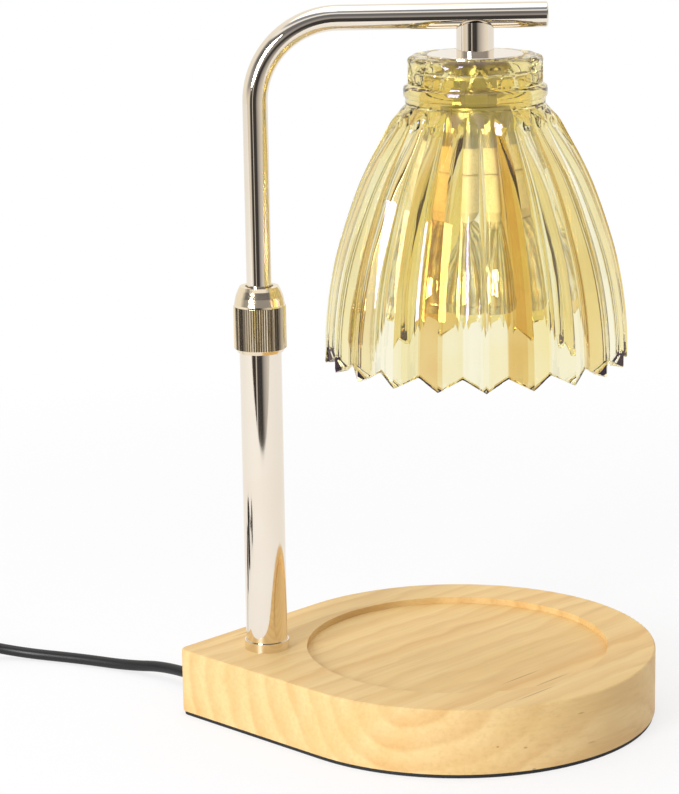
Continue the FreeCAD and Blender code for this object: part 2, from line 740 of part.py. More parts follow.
def make_leads():
    start = exit_point - exit_way * boot_inside
    turn_from = V(post_x, 0, cord_exit_z) + exit_way * lead_bend
    centre = turn_from + UP * lead_bend
    bend_mid = centre - (exit_way + UP) * (lead_bend * math.sqrt(0.5))
    bend_end = V(post_x, 0, cord_exit_z + lead_bend)
    edges = [
        Part.LineSegment(start, turn_from).toShape(),
        Part.Arc(turn_from, bend_mid, bend_end).toShape(),
        Part.LineSegment(bend_end, V(post_x, 0, slack_bottom)).toShape(),
    ]
    save("post_lead", swept(edges, lead_r, start, exit_way * -1)[0])
    slack, length = swept(slack_edges(), lead_r, V(post_x, 0, slack_bottom), UP)
    print(f"lead_slack: length {length:.1f}, volume share {slack.Volume / (math.pi * lead_r ** 2 * length):.4f}")
    save("lead_slack", slack)
    bend_start = V(post_x, 0, arm_z - bend_r)
    corner = V(post_x + bend_r * (1 - math.sqrt(0.5)), 0, arm_z - bend_r + bend_r * math.sqrt(0.5))
    knee = V(post_x + bend_r, 0, arm_z)
    turn_down = V(head_x - lead_bend, 0, arm_z)
    down_mid = V(head_x - lead_bend * (1 - math.sqrt(0.5)), 0, arm_z - lead_bend * (1 - math.sqrt(0.5)))
    down = V(head_x, 0, arm_z - lead_bend)
    edges = [
        Part.LineSegment(V(post_x, 0, slack_top), bend_start).toShape(),
        Part.Arc(bend_start, corner, knee).toShape(),
        Part.LineSegment(knee, turn_down).toShape(),
        Part.Arc(turn_down, down_mid, down).toShape(),
        Part.LineSegment(down, V(head_x, 0, socket_top - terminal_drop)).toShape(),
    ]
    save("arm_lead", swept(edges, lead_r, V(post_x, 0, slack_top), UP)[0])


def make_power_cord():
    dimmer_end = V(dimmer_x + dimmer_l / 2 + dimmer_boot_l, dimmer_y, dimmer_split)
    route = [boot_end, boot_end + exit_way * lead_out]
    route += [V(boot_end.x + x, boot_end.y + y, cord_rest) for x, y in cord_way]
    route += [dimmer_end + V(dimmer_run, 0, 0), dimmer_end]
    save("power_cord", tube_along("power_cord", route, cord_r))


def rounded_box(length, width, bottom, top, radius):
    solid = block(-length / 2, length / 2, -width / 2, width / 2, bottom, top)
    upright = edges_at(solid, lambda p: abs(abs(p.x) - length / 2) < 0.01 and abs(abs(p.y) - width / 2) < 0.01)
    return solid.makeFillet(radius, upright)


def make_dimmer():
    place = V(dimmer_x, dimmer_y, 0)
    inner_l = dimmer_l - 2 * dimmer_wall
    inner_w = dimmer_w - 2 * dimmer_wall
    inner_round = dimmer_round - dimmer_wall
    wheel_y = -dimmer_w / 2 - wheel_out + wheel_r
    room = cylinder(wheel_r + 0.5, wheel_z - 0.4, wheel_z + wheel_t + 0.4, 0, wheel_y)
    boot_room = Part.makeCylinder(boot_r + SLIP, dimmer_l + 2, V(-dimmer_l / 2 - 1, 0, dimmer_split), V(1, 0, 0))
    spots = [(side * boss_x, side * boss_y) for side in (-1, 1)]
    bottom = rounded_box(dimmer_l, dimmer_w, 0, dimmer_split, dimmer_round)
    bottom = bottom.cut(rounded_box(inner_l, inner_w, dimmer_wall, dimmer_split + 1, inner_round))
    top = rounded_box(dimmer_l, dimmer_w, dimmer_split, dimmer_h, dimmer_round)
    top = top.makeFillet(1.6, edges_at(top, lambda p: abs(p.z - dimmer_h) < 0.01))
    top = top.cut(rounded_box(inner_l, inner_w, dimmer_split - 1, dimmer_h - dimmer_wall, inner_round))
    for x, y in spots:
        bottom = bottom.fuse(cylinder(boss_r, dimmer_wall - 0.5, dimmer_split, x, y))
        bottom = bottom.cut(cylinder(screw_r + SLIP, -1, dimmer_split + 1, x, y))
        bottom = bottom.cut(cylinder(screw_head_r + RUNNING, -1, sink_depth, x, y))
        top = top.fuse(cylinder(boss_r, dimmer_split, dimmer_h - dimmer_wall + 0.5, x, y))
        top = top.cut(cylinder(screw_r + SLIP, dimmer_split - 1, dimmer_split + screw_reach + 0.2, x, y))
    bottom = bottom.cut(boot_room)
    top = top.cut(boot_room).cut(room)
    save("dimmer_base", bottom.translated(place))
    save("dimmer_cover", top.translated(place))
    wheel = star(wheel_teeth, wheel_r, wheel_r - wheel_tooth, wheel_z, wheel_z + wheel_t, 0, wheel_y)
    wheel = wheel.cut(cylinder(axle_r + RUNNING, wheel_z - 1, wheel_z + wheel_t + 1, 0, wheel_y))
    save("dimmer_wheel", wheel.translated(place))
    board_top = board_z + board_t
    axle = cylinder(pot_r, board_top, wheel_z - 0.5, 0, wheel_y)
    axle = axle.fuse(cylinder(axle_r, board_top, dimmer_h - dimmer_wall - 0.05, 0, wheel_y))
    save("dimmer_control", axle.translated(place))
    board = block(-board_l / 2, board_l / 2, -board_w / 2, board_w / 2, board_z, board_top)
    for x in (-board_l * 0.4, board_l * 0.4):
        for y in (-board_w / 3, board_w / 3):
            board = board.fuse(cylinder(board_pillar_r, dimmer_wall, board_z, x, y))
    save("dimmer_board", board.translated(place))
    screws = []
    for x, y in spots:
        shaft = cylinder(screw_r, sink_depth - screw_head_t, dimmer_split + screw_reach, x, y)
        head = cylinder(screw_head_r, sink_depth - screw_head_t, sink_depth, x, y)
        screws.append(shaft.fuse(head).translated(place))
    save("dimmer_screws", Part.makeCompound(screws))
    boots = []
    for side in (-1, 1):
        start = V(side * (dimmer_l / 2 - 5), 0, dimmer_split)
        inside = Part.makeCylinder(boot_r, 5, start, V(side, 0, 0))
        tail = Part.makeCone(boot_r, boot_end_r, dimmer_boot_l, start + V(side * 5, 0, 0), V(side, 0, 0))
        boots.append(inside.fuse(tail).translated(place))
    save("dimmer_boots", Part.makeCompound(boots))


def coil_point(turns):
    """Centre line of the put-away coil: it winds in and out again, a layer higher each time."""
    layer = int(min(turns / coil_turns, coil_layers - 1e-9))
    done = turns - layer * coil_turns
    inward = layer % 2 == 0
    r = coil_in_r + coil_pitch * (coil_turns - done if inward else done)
    climb = 0.0
    for k in range(1, coil_layers):
        share = min(1.0, max(0.0, (turns - k * coil_turns) / 0.5 + 0.5))
        climb += share * share * (3 - 2 * share)
    angle = math.pi + 2 * math.pi * turns
    centre_x = coil_side_x + coil_in_r + coil_pitch * coil_turns
    return V(centre_x + r * math.cos(angle), coil_y + r * math.sin(angle), cord_rest + coil_pitch * climb)


def coil_heading(turns):
    total = coil_turns * coil_layers
    if turns <= 0 or turns >= total:
        return V(0, -1, 0)
    step = 0.02
    return (coil_point(turns + step) - coil_point(turns - step)).normalize()


def make_coil():
    total = coil_turns * coil_layers
    straight = 2 * cord_r
    start = coil_point(0) + V(0, straight, 0)
    edges = [Part.LineSegment(start, coil_point(0)).toShape()]
    steps = int(total * 4)
    for k in range(steps):
        t0, t1 = total * k / steps, total * (k + 1) / steps
        edges += biarc(coil_point(t0), coil_heading(t0), coil_point(t1), coil_heading(t1))
    end = coil_point(total) - V(0, straight, 0)
    edges.append(Part.LineSegment(coil_point(total), end).toShape())
    coil, length = swept(edges, cord_r, start, V(0, -1, 0))
    spots = []
    for edge in edges:
        spots += edge.discretize(6)[:-1]
    walked = [0.0]
    for a, b in zip(spots, spots[1:]):
        walked.append(walked[-1] + a.distanceToPoint(b))
    least = min(
        a.distanceToPoint(b)
        for i, a in enumerate(spots)
        for j, b in enumerate(spots[:i])
        if walked[i] - walked[j] > 8 * cord_r
    )
    share = coil.Volume / (math.pi * cord_r ** 2 * length)
    print(f"cord_coil: length {length:.1f}, volume share {share:.4f}, least gap {least - 2 * cord_r:.2f}")
    save("cord_coil", coil)
    return start, end


def make_tail(coil_start, coil_end):
    out = V(dimmer_x - dimmer_l / 2 - dimmer_boot_l, dimmer_y, dimmer_split)
    route = [
        out,
        out - V(8, 0, 0),
        out - V(23, 1, 4),
        V(coil_side_x, coil_y + 30, cord_rest),
        coil_start,
    ]
    save("dimmer_cord", tube_along("dimmer_cord", route, cord_r))
    plug_z = plug_h / 2
    lead = [
        coil_end,
        coil_end + V(0, -15, 0),
        V(coil_side_x + 2, coil_y - 39, plug_z + 2.4),
        V(coil_side_x + 5, coil_y - 58, plug_z),
        V(coil_side_x + 6.5, coil_y - 72, plug_z),
    ]
    save("plug_lead", tube_along("plug_lead", lead, cord_r))
    heading = (lead[-1] - lead[-2]).normalize()
    make_plug(lead[-1], V(heading.x, heading.y, 0).normalize())


def make_plug(place, heading):
    tail = Part.makeCone(boot_end_r, boot_r + 0.8, plug_tail, V(0, 0, 0), V(1, 0, 0))
    body = block(plug_tail - 1, plug_tail + plug_l, -plug_w / 2, plug_w / 2, -plug_h / 2, plug_h / 2)
    body = body.makeFillet(4.0, edges_at(body, lambda p: abs(p.x - plug_tail + 1) < 0.01))
    save("plug_body", turned_to(body.fuse(tail), place, heading))
    blades = []
    for side in (-1, 1):
        y = side * blade_gap / 2
        blade = block(plug_tail + plug_l, plug_tail + plug_l + blade_l, y - blade_t / 2, y + blade_t / 2,
                      -blade_w / 2, blade_w / 2)
        blades.append(turned_to(blade, place, heading))
    save("plug_blades", Part.makeCompound(blades))


make_base()
make_strain_relief()
make_collar()
make_arm()
make_shade(*make_stem())
make_lampholder()
make_bulb()
make_leads()
make_power_cord()
make_dimmer()
make_tail(*make_coil())
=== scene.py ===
import bpy
import math
from mathutils import Matrix, Vector


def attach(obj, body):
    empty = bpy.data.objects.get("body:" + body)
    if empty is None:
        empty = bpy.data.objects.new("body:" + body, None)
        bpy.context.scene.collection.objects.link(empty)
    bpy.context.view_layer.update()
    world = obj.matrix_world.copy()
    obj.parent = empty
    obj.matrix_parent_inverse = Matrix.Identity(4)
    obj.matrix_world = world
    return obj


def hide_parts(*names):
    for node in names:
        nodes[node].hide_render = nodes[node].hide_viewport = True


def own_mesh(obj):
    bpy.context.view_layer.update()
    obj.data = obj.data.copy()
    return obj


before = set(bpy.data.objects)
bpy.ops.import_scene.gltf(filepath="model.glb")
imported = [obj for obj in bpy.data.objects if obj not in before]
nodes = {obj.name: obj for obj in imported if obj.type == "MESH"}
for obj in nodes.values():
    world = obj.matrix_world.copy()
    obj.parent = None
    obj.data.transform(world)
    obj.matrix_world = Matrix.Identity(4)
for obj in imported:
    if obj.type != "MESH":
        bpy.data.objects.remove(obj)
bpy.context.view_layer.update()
MM = 0.001

# Places and sizes, in millimetres, as the construction has them
post_x = -74.0
head_x = 8.0
cord_d = 4.4
floor_gap = 0.05
disc_r = 77.0
wood_bottom = 1.5
groove_axis = 3.5
ribs = 20
petals = 14


def mm(x, y, z):
    return Vector((x, y, z)) * MM


# Scene settings, camera, floor and light

scene = bpy.context.scene
scene.view_settings.view_transform = "Standard"

PHOTO_W, PHOTO_H = 679, 794
LENS_PX = 2800.0
SENSOR = 36.0
CAM_AZ, CAM_EL, CAM_ROLL = -0.8, 13.5, -0.9
CAM_DISTANCE = 1068.0
CAM_TARGET = mm(-44.3, 0, 125.9)


def make_camera():
    data = bpy.data.cameras.new("camera")
    data.sensor_width = SENSOR
    data.lens = LENS_PX / max(PHOTO_W, PHOTO_H) * SENSOR
    cam = bpy.data.objects.new("camera", data)
    scene.collection.objects.link(cam)
    az, el = math.radians(CAM_AZ), math.radians(CAM_EL)
    back = Vector((math.sin(az) * math.cos(el), -math.cos(az) * math.cos(el), math.sin(el)))
    cam.location = CAM_TARGET + back * CAM_DISTANCE * MM
    turn = (-back).to_track_quat("-Z", "Y").to_matrix()
    cam.rotation_euler = (turn @ Matrix.Rotation(math.radians(CAM_ROLL), 3, "Z")).to_euler()
    data.clip_start, data.clip_end = 0.05, 20
    scene.camera = cam


# Small tools

def linear(colour):
    """An sRGB hex colour as the linear RGBA that the shaders take."""
    parts = [int(colour[k:k + 2], 16) / 255 for k in (1, 3, 5)]
    return [c / 12.92 if c <= 0.04045 else ((c + 0.055) / 1.055) ** 2.4 for c in parts] + [1.0]


def deselect():
    bpy.ops.object.select_all(action="DESELECT")


def activate(obj):
    deselect()
    obj.select_set(True)
    bpy.context.view_layer.objects.active = obj


def named(name):
    obj = bpy.context.object
    obj.name = name
    obj.data.name = name
    return obj


def apply_place(obj):
    """Puts the object's place into its mesh."""
    activate(obj)
    bpy.ops.object.transform_apply(location=True, rotation=True, scale=True)


def outwards(obj):
    """Joins doubled points and turns all faces outwards."""
    activate(obj)
    bpy.ops.object.mode_set(mode="EDIT")
    bpy.ops.mesh.select_all(action="SELECT")
    bpy.ops.mesh.remove_doubles(threshold=1e-6)
    bpy.ops.mesh.normals_make_consistent(inside=False)
    bpy.ops.object.mode_set(mode="OBJECT")


def smooth(obj, angle=35):
    activate(obj)
    bpy.ops.object.shade_smooth_by_angle(angle=math.radians(angle))


def node(tree, kind, links=None, **settings):
    """Adds a shader node with its settings. links maps an input to an output or a value."""
    made = tree.nodes.new(kind)
    for key, value in settings.items():
        setattr(made, key, value)
    for key, value in (links or {}).items():
        if isinstance(value, bpy.types.NodeSocket):
            tree.links.new(value, made.inputs[key])
        else:
            made.inputs[key].default_value = value
    return made


def ramp(tree, factor, *stops):
    """Colour ramp from (place, hex colour) stops."""
    made = node(tree, "ShaderNodeValToRGB", {0: factor})
    elements = made.color_ramp.elements
    while len(elements) < len(stops):
        elements.new(0.5)
    for element, (place, colour) in zip(elements, stops):
        element.position = place
        element.color = linear(colour)
    return made.outputs[0]


def material(name):
    """A new material with its node tree and its principled shader."""
    made = bpy.data.materials.new(name)
    made.use_nodes = True
    return made, made.node_tree, made.node_tree.nodes["Principled BSDF"]


def set_inputs(shader, **values):
    for key, value in values.items():
        shader.inputs[key.replace("_", " ")].default_value = value


def object_place(tree, centre=(0, 0, 0), scale=(1, 1, 1), turn=(0, 0, 0)):
    """Object coordinates about a centre in millimetres."""
    coord = node(tree, "ShaderNodeTexCoord")
    shift = node(tree, "ShaderNodeMapping", {
        "Vector": coord.outputs["Object"],
        "Location": [-c * MM * s for c, s in zip(centre, scale)],
        "Scale": scale,
        "Rotation": [math.radians(t) for t in turn],
    })
    return shift.outputs[0]


def per_mm(size):
    """Texture scale whose features are about size millimetres."""
    return 1 / (size * MM)


def give(material_made, *names):
    for name in names:
        obj = nodes[name] if name in nodes else bpy.data.objects[name]
        obj.data.materials.clear()
        obj.data.materials.append(material_made)


# Materials

def pine_wood():
    """Pine block, sawn and sanded, with clear matt oil: pale honey, with wide soft growth rings round a
    level pith at 45 degrees to the front, so that the front shows them as nested bows."""
    mat, tree, shader = material("pine oiled sanded")
    coord = node(tree, "ShaderNodeTexCoord")
    along = node(tree, "ShaderNodeMapping", {0: coord.outputs["Object"], "Rotation": (0, 0, math.radians(-45))})
    # about the pith: y across the grain, z up
    about = node(tree, "ShaderNodeMapping", {0: along.outputs[0], "Location": mm(0, 37, -29)})
    wander = node(tree, "ShaderNodeTexNoise", {"Vector": about.outputs[0], "Scale": per_mm(42), "Detail": 2.0})
    bent = node(tree, "ShaderNodeVectorMath", {0: wander.outputs["Color"], 1: (0.5, 0.5, 0.5)}, operation="SUBTRACT")
    bent = node(tree, "ShaderNodeVectorMath", {0: bent.outputs[0], 1: mm(0, 16, 12), 2: about.outputs[0]},
                operation="MULTIPLY_ADD")
    flat = node(tree, "ShaderNodeVectorMath", {0: bent.outputs[0], 1: (0.02, 0.8, 1.0)}, operation="MULTIPLY")
    radius = node(tree, "ShaderNodeVectorMath", {0: flat.outputs[0]}, operation="LENGTH")
    rings = node(tree, "ShaderNodeMath", {0: radius.outputs["Value"], 1: per_mm(8.5)}, operation="MULTIPLY")
    ring = node(tree, "ShaderNodeMath", {0: rings.outputs[0]}, operation="FRACT")
    late = node(tree, "ShaderNodeMapRange", {0: ring.outputs[0], 1: 0.35, 2: 0.93})
    fade = node(tree, "ShaderNodeMapRange", {0: ring.outputs[0], 1: 0.0, 2: 0.16, 3: 1.0, 4: 0.0})
    band = node(tree, "ShaderNodeMath", {0: late.outputs[0], 1: fade.outputs[0]}, operation="MAXIMUM")
    # fibres run along the pith
    fibre_at = node(tree, "ShaderNodeMapping", {"Vector": about.outputs[0], "Scale": (0.035, 1, 1)})
    fibre = node(tree, "ShaderNodeTexNoise", {"Vector": fibre_at.outputs[0], "Scale": per_mm(1.6), "Detail": 6.0,
                                              "Roughness": 0.65})
    patch = node(tree, "ShaderNodeTexNoise", {"Vector": fibre_at.outputs[0], "Scale": per_mm(30), "Detail": 3.0})
    early = ramp(tree, patch.outputs[0], (0.3, "#e4c281"), (0.5, "#edd096"), (0.75, "#e9c686"))
    dark = ramp(tree, patch.outputs[0], (0.3, "#c9924f"), (0.7, "#d8a765"))
    uneven = node(tree, "ShaderNodeMapRange", {0: patch.outputs[0], 1: 0.35, 2: 0.65, 3: 0.12, 4: 0.50})
    amount = node(tree, "ShaderNodeMath", {0: band.outputs[0], 1: uneven.outputs[0]}, operation="MULTIPLY")
    wood = node(tree, "ShaderNodeMix", {0: amount.outputs[0], 6: early, 7: dark}, data_type="RGBA")
    streak = ramp(tree, fibre.outputs[0], (0.30, "#b58f5c"), (0.47, "#ecd3a4"), (0.72, "#ffffff"))
    fine = node(tree, "ShaderNodeMix", {0: 0.22, 6: wood.outputs[2], 7: streak}, data_type="RGBA",
                blend_type="MULTIPLY")
    # pores are about half a millimetre, drawn coarser so that they show, and only a few are dark
    pores = node(tree, "ShaderNodeTexVoronoi", {"Vector": fibre_at.outputs[0], "Scale": per_mm(4.5)})
    pore = node(tree, "ShaderNodeMapRange", {0: pores.outputs[0], 1: 0.05, 2: 0.10, 3: 0.55, 4: 0.0})
    few = node(tree, "ShaderNodeSeparateColor", {0: pores.outputs["Color"]})
    few = node(tree, "ShaderNodeMath", {0: few.outputs[0], 1: 0.6}, operation="GREATER_THAN")
    spot = node(tree, "ShaderNodeMath", {0: pore.outputs[0], 1: few.outputs[0]}, operation="MULTIPLY")
    spotted = node(tree, "ShaderNodeMix", {0: spot.outputs[0], 6: fine.outputs[2], 7: linear("#8a6238")},
                   data_type="RGBA")
    tree.links.new(spotted.outputs[2], shader.inputs["Base Color"])
    rough = node(tree, "ShaderNodeMapRange", {0: fibre.outputs[0], 3: 0.42, 4: 0.62})
    tree.links.new(rough.outputs[0], shader.inputs["Roughness"])
    bump = node(tree, "ShaderNodeBump", {"Height": fibre.outputs[0], "Strength": 0.1, "Distance": 0.2 * MM})
    tree.links.new(bump.outputs[0], shader.inputs["Normal"])
    set_inputs(shader, Specular_IOR_Level=0.42)
    give(mat, "base_block")


def even_skin(name, colour, shine, grain, bump_strength, bump_mm, targets):
    """One colour, with a fine grain that varies the roughness between the two of shine and raises it a little."""
    mat, tree, shader = material(name)
    place = object_place(tree)
    skin = node(tree, "ShaderNodeTexNoise", {"Vector": place, "Scale": per_mm(grain), "Detail": 3.0})
    varied = node(tree, "ShaderNodeMapRange", {0: skin.outputs[0], 3: shine[0], 4: shine[1]})
    tree.links.new(varied.outputs[0], shader.inputs["Roughness"])
    bump = node(tree, "ShaderNodeBump", {"Height": skin.outputs[0], "Strength": bump_strength,
                                         "Distance": bump_mm * MM})
    tree.links.new(bump.outputs[0], shader.inputs["Normal"])
    set_inputs(shader, Base_Color=linear(colour))
    give(mat, *targets)
    return shader


def foam(name, colour, rough, cell, *targets):
    """Closed-cell foam or moulded rubber: even, dark and satin, with a fine skin."""
    even_skin(name, colour, (rough - 0.06, rough + 0.08), cell, 0.15, 0.1, targets)


def plated(name, colours, rough, *targets, bump_mm=0.0, line_mm=1.2):
    """Polished plated steel: a mirror with faint drawing lines along the tube and slow changes of tone."""
    mat, tree, shader = material(name)
    place = object_place(tree)
    slow = node(tree, "ShaderNodeTexNoise", {"Vector": place, "Scale": per_mm(45), "Detail": 2.0})
    tone = ramp(tree, slow.outputs[0], (0.3, colours[0]), (0.7, colours[1]))
    tree.links.new(tone, shader.inputs["Base Color"])
    lines_at = node(tree, "ShaderNodeMapping", {"Vector": place, "Scale": (1, 1, 0.02)})
    lines = node(tree, "ShaderNodeTexNoise", {"Vector": lines_at.outputs[0], "Scale": per_mm(line_mm), "Detail": 4.0})
    varied = node(tree, "ShaderNodeMapRange", {0: lines.outputs[0], 3: max(0.02, rough - 0.04), 4: rough + 0.05})
    tree.links.new(varied.outputs[0], shader.inputs["Roughness"])
    if bump_mm:
        bump = node(tree, "ShaderNodeBump", {"Height": lines.outputs[0], "Strength": 0.2, "Distance": bump_mm * MM})
        tree.links.new(bump.outputs[0], shader.inputs["Normal"])
    set_inputs(shader, Metallic=1.0)
    give(mat, *targets)


def moulded(name, colour, rough, *targets, grain=0.5, coat=0.0):
    """Moulded plastic: even colour with a fine grain that breaks up its shine."""
    shader = even_skin(name, colour, (rough - 0.05, rough + 0.07), grain, 0.12, 0.08, targets)
    set_inputs(shader, Coat_Weight=coat)


def clear_for_shadows(tree, shader, share=0.85, tint="#ffffff"):
    """Lets most of the light through for shadow rays, as real glass does."""
    out = tree.nodes["Material Output"]
    path = node(tree, "ShaderNodeLightPath")
    through = node(tree, "ShaderNodeBsdfTransparent", {0: linear(tint)})
    amount = node(tree, "ShaderNodeMath", {0: path.outputs["Is Shadow Ray"], 1: share}, operation="MULTIPLY")
    mixed = node(tree, "ShaderNodeMixShader", {0: amount.outputs[0], 1: shader.outputs[0], 2: through.outputs[0]})
    tree.links.new(mixed.outputs[0], out.inputs["Surface"])


def amber_glass():
    """Pressed soda-lime glass with a fired amber lustre: cream to honey by facet, with one flank of every rib a
    little deeper as painted shade, under a thin film.
    """
    mat, tree, shader = material("amber lustre glass")
    place = object_place(tree, centre=(head_x, 0, 0))
    slow = node(tree, "ShaderNodeTexNoise", {"Vector": place, "Scale": per_mm(30), "Detail": 2.0})
    facet = node(tree, "ShaderNodeAttribute", attribute_name="facet")
    uneven = node(tree, "ShaderNodeMath", {0: slow.outputs[0], 1: 0.30, 2: facet.outputs["Fac"]},
                  operation="MULTIPLY_ADD")
    tone = ramp(tree, uneven.outputs[0], (0.12, "#fcfbf6"), (0.36, "#faf5d8"), (0.60, "#f2e298"), (0.92, "#d59a3a"))
    tree.links.new(tone, shader.inputs["Base Color"])
    ripple = node(tree, "ShaderNodeTexNoise", {"Vector": place, "Scale": per_mm(14), "Detail": 1.0})
    bump = node(tree, "ShaderNodeBump", {"Height": ripple.outputs[0], "Strength": 0.15, "Distance": 0.5 * MM})
    tree.links.new(bump.outputs[0], shader.inputs["Normal"])
    set_inputs(shader, Transmission_Weight=1.0, Roughness=0.01, IOR=1.45)
    set_inputs(shader, Thin_Film_Thickness=178.0, Thin_Film_IOR=1.62)
    clear_for_shadows(tree, shader, 0.85, "#fdf0d2")
    give(mat, "glass_shade_pressed")


def clear_glass():
    """Lamp glass: clear and thin."""
    mat, tree, shader = material("clear lamp glass")
    place = object_place(tree)
    wave = node(tree, "ShaderNodeTexNoise", {"Vector": place, "Scale": per_mm(6), "Detail": 1.0})
    tone = ramp(tree, wave.outputs[0], (0.3, "#fbfcfa"), (0.7, "#ffffff"))
    tree.links.new(tone, shader.inputs["Base Color"])
    set_inputs(shader, Transmission_Weight=1.0, Roughness=0.02, IOR=1.46)
    clear_for_shadows(tree, shader)
    give(mat, "bulb_lens", "bulb_capsule")


def reflector_glass():
    """Pressed glass reflector with a thin mirror coat that lets some light through: upright flutes, silvery."""
    mat, tree, shader = material("mirror coated reflector")
    place = object_place(tree, centre=(head_x, 0, 0))
    flat = node(tree, "ShaderNodeSeparateXYZ", {0: place})
    angle = node(tree, "ShaderNodeMath", {0: flat.outputs[1], 1: flat.outputs[0]}, operation="ARCTAN2")
    flutes = node(tree, "ShaderNodeMath", {0: angle.outputs[0], 1: 28.0}, operation="MULTIPLY")
    wave = node(tree, "ShaderNodeMath", {0: flutes.outputs[0]}, operation="SINE")
    cells = node(tree, "ShaderNodeTexVoronoi", {"Vector": place, "Scale": per_mm(5)})
    height = node(tree, "ShaderNodeMath", {0: wave.outputs[0], 1: 0.5, 2: cells.outputs[0]}, operation="MULTIPLY_ADD")
    tone = ramp(tree, height.outputs[0], (0.1, "#f3f2ee"), (0.8, "#c4c3bf"))
    tree.links.new(tone, shader.inputs["Base Color"])
    bump = node(tree, "ShaderNodeBump", {"Height": height.outputs[0], "Strength": 0.6, "Distance": 0.7 * MM})
    tree.links.new(bump.outputs[0], shader.inputs["Normal"])
    set_inputs(shader, Metallic=1.0, Roughness=0.1)
    give(mat, "bulb_reflector")


def ceramic():
    """Unglazed steatite: chalky cream with a faint speckle."""
    mat, tree, shader = material("steatite ceramic")
    place = object_place(tree)
    speck = node(tree, "ShaderNodeTexNoise", {"Vector": place, "Scale": per_mm(0.8), "Detail": 4.0})
    tone = ramp(tree, speck.outputs[0], (0.3, "#ddd6c6"), (0.6, "#f0ebdf"))
    tree.links.new(tone, shader.inputs["Base Color"])
    set_inputs(shader, Roughness=0.62)
    bump = node(tree, "ShaderNodeBump", {"Height": speck.outputs[0], "Strength": 0.2, "Distance": 0.1 * MM})
    tree.links.new(bump.outputs[0], shader.inputs["Normal"])
    give(mat, "socket_body", "bulb_base")


# Pieces

def ring_loft(name, count, rings):
    """A wall from a circle of edges, extruded ring by ring and shaped by a formula.
    rings holds (height in mm, function of a point's number that gives its radius in mm)."""
    deselect()
    bpy.ops.mesh.primitive_circle_add(vertices=count, radius=1.0, fill_type="NOTHING")
    obj = named(name)
    bpy.ops.object.mode_set(mode="EDIT")
    bpy.ops.mesh.select_all(action="SELECT")
    for _ in rings[1:]:
        bpy.ops.mesh.extrude_region_move(TRANSFORM_OT_translate={"value": (0, 0, 1)})
    bpy.ops.object.mode_set(mode="OBJECT")
    layers = {}
    for v in obj.data.vertices:
        layers.setdefault(round(v.co.z), []).append(v)
    for level, (height, radius_at) in enumerate(rings):
        for v in layers[level]:
            angle = math.atan2(v.co.y, v.co.x)
            r, lift = radius_at(angle)
            v.co = mm(r * math.cos(angle), r * math.sin(angle), height + lift)
    return obj


SHADE_LINE = [
    (0.0, 26.2), (5.6, 31.1), (13.2, 35.4), (20.7, 39.5), (28.2, 43.1), (35.8, 46.1), (43.3, 48.7),
    (54.6, 52.2), (65.9, 54.8), (77.2, 56.5), (88.0, 57.4), (97.9, 57.5),
]
# height and radius of the bead under the crown, downwards
NECK_BEAD = [
    (244.9, 25.2), (244.5, 26.2), (244.0, 26.7), (243.2, 26.9), (241.2, 26.9), (240.5, 26.7), (240.1, 26.3),
    (239.2, 26.15), (238.2, 26.2),
]
NECK_BOTTOM, RIM_Z = 237.4, 139.5
RIM_DROP = NECK_BOTTOM - RIM_Z
NECK_R = SHADE_LINE[0][1]
RIB_DEPTH, RIB_START, GLASS_T = 3.7, 7.0, 2.6
RIM_SCALLOP, SCALLOP_START = 4.4, 90.0
# the roof inside the crown, with its round hole and the seat of the canopy disc
ROOF_LOW, ROOF_TOP, HOLE_R, SEAT_R, ROUNDING = 249.8, 254.3, 15.0, 18.1, 0.4
CROWN_TOP, CROWN_LOW, CROWN_R, CROWN_BEND, ARCH_DEPTH = 255.5, 245.4, 25.1, 2.4, 1.35


def shade_radius(drop):
    """Outside radius of the ridges at a depth below the neck, on a smooth curve through the line."""
    line = SHADE_LINE
    k = max(i for i in range(len(line) - 1) if line[i][0] <= max(drop, 0.0))
    (d0, r0), (d1, r1) = line[k], line[k + 1]
    before = line[k - 1] if k else (d0 - 5.6, r0 - 3.0)
    after = line[k + 2] if k + 2 < len(line) else (d1 + 10, r1)
    m0 = (r1 - before[1]) / (d1 - before[0])
    m1 = (after[1] - r0) / (after[0] - d0)
    h = d1 - d0
    t = (drop - d0) / h
    return ((2 * t ** 3 - 3 * t ** 2 + 1) * r0 + (t ** 3 - 2 * t ** 2 + t) * h * m0
            + (3 * t ** 2 - 2 * t ** 3) * r1 + (t ** 3 - t ** 2) * h * m1)


def rib_wave(angle):
    """0 on a ridge and 1 in a valley, straight in between."""
    turn = (angle / (2 * math.pi) * ribs) % 1.0
    return 1 - abs(2 * turn - 1)


